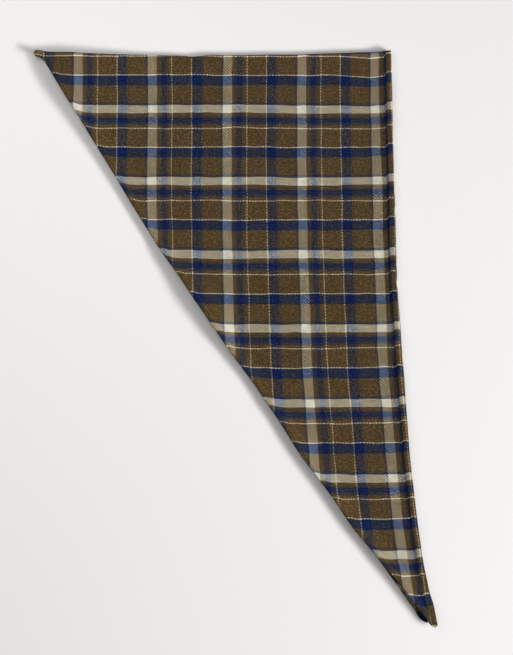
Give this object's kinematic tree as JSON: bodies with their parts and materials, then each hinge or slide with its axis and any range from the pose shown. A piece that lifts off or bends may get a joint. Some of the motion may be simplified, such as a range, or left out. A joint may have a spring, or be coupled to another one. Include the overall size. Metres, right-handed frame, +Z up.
{
  "type": "folded triangle scarf",
  "caption": "Triangle scarf of brushed check cloth, folded in half and lying flat, with turned hems, a soft rolled fold and slightly parted tips.",
  "frame": {"origin": "on the surface the scarf lies on, below the middle of the folded scarf's box", "axes": "+Z up from that surface, +Y from the tips towards the fold, +X from the slant hems towards the long hem"},
  "size_m": [0.5446, 0.7814, 0.0139],
  "materials": {
    "check_flannel": "soft brushed twill, matt, woven in an olive, navy and cream check"
  },
  "bodies": {
    "root": {"scarf": "check_flannel"}
  },
  "joints": []
}
